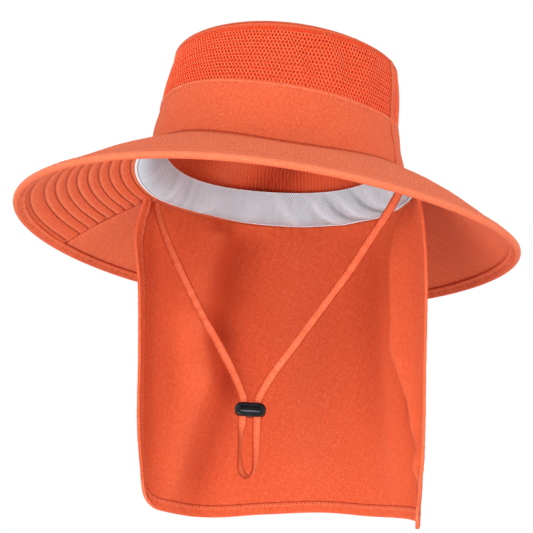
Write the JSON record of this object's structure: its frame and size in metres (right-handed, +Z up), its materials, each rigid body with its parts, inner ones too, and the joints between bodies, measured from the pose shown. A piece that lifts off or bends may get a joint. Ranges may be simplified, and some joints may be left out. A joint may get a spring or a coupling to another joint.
{
  "type": "flap sun hat",
  "caption": "Wide-brimmed cloth sun hat with a net band in the crown, a quilted front brim, a neck flap and a chin strap with a cord lock.",
  "frame": {"origin": "middle of the head opening, level with the seam of crown and brim, where the head sits", "axes": "+Z up through the crown, -Y the way the wearer faces, +X the wearer's left"},
  "size_m": [0.3191, 0.3395, 0.3065],
  "materials": {
    "orange_cloth": "matt woven cloth, coral orange",
    "orange_net": "net with small round holes, red orange",
    "grey_band": "light grey twill tape",
    "black_plastic": "gloss black"
  },
  "bodies": {
    "root": {"crown_top": "orange_cloth", "crown_mesh_front": "orange_net", "crown_mesh_back": "orange_net", "crown_band_front": "orange_cloth", "crown_band_back": "orange_cloth", "brim_front": "orange_cloth", "brim_back": "orange_cloth", "brim_binding": "orange_cloth", "sweatband": "grey_band", "neck_flap": "orange_cloth", "chin_strap": "orange_cloth", "cord_lock": "black_plastic"}
  },
  "joints": []
}
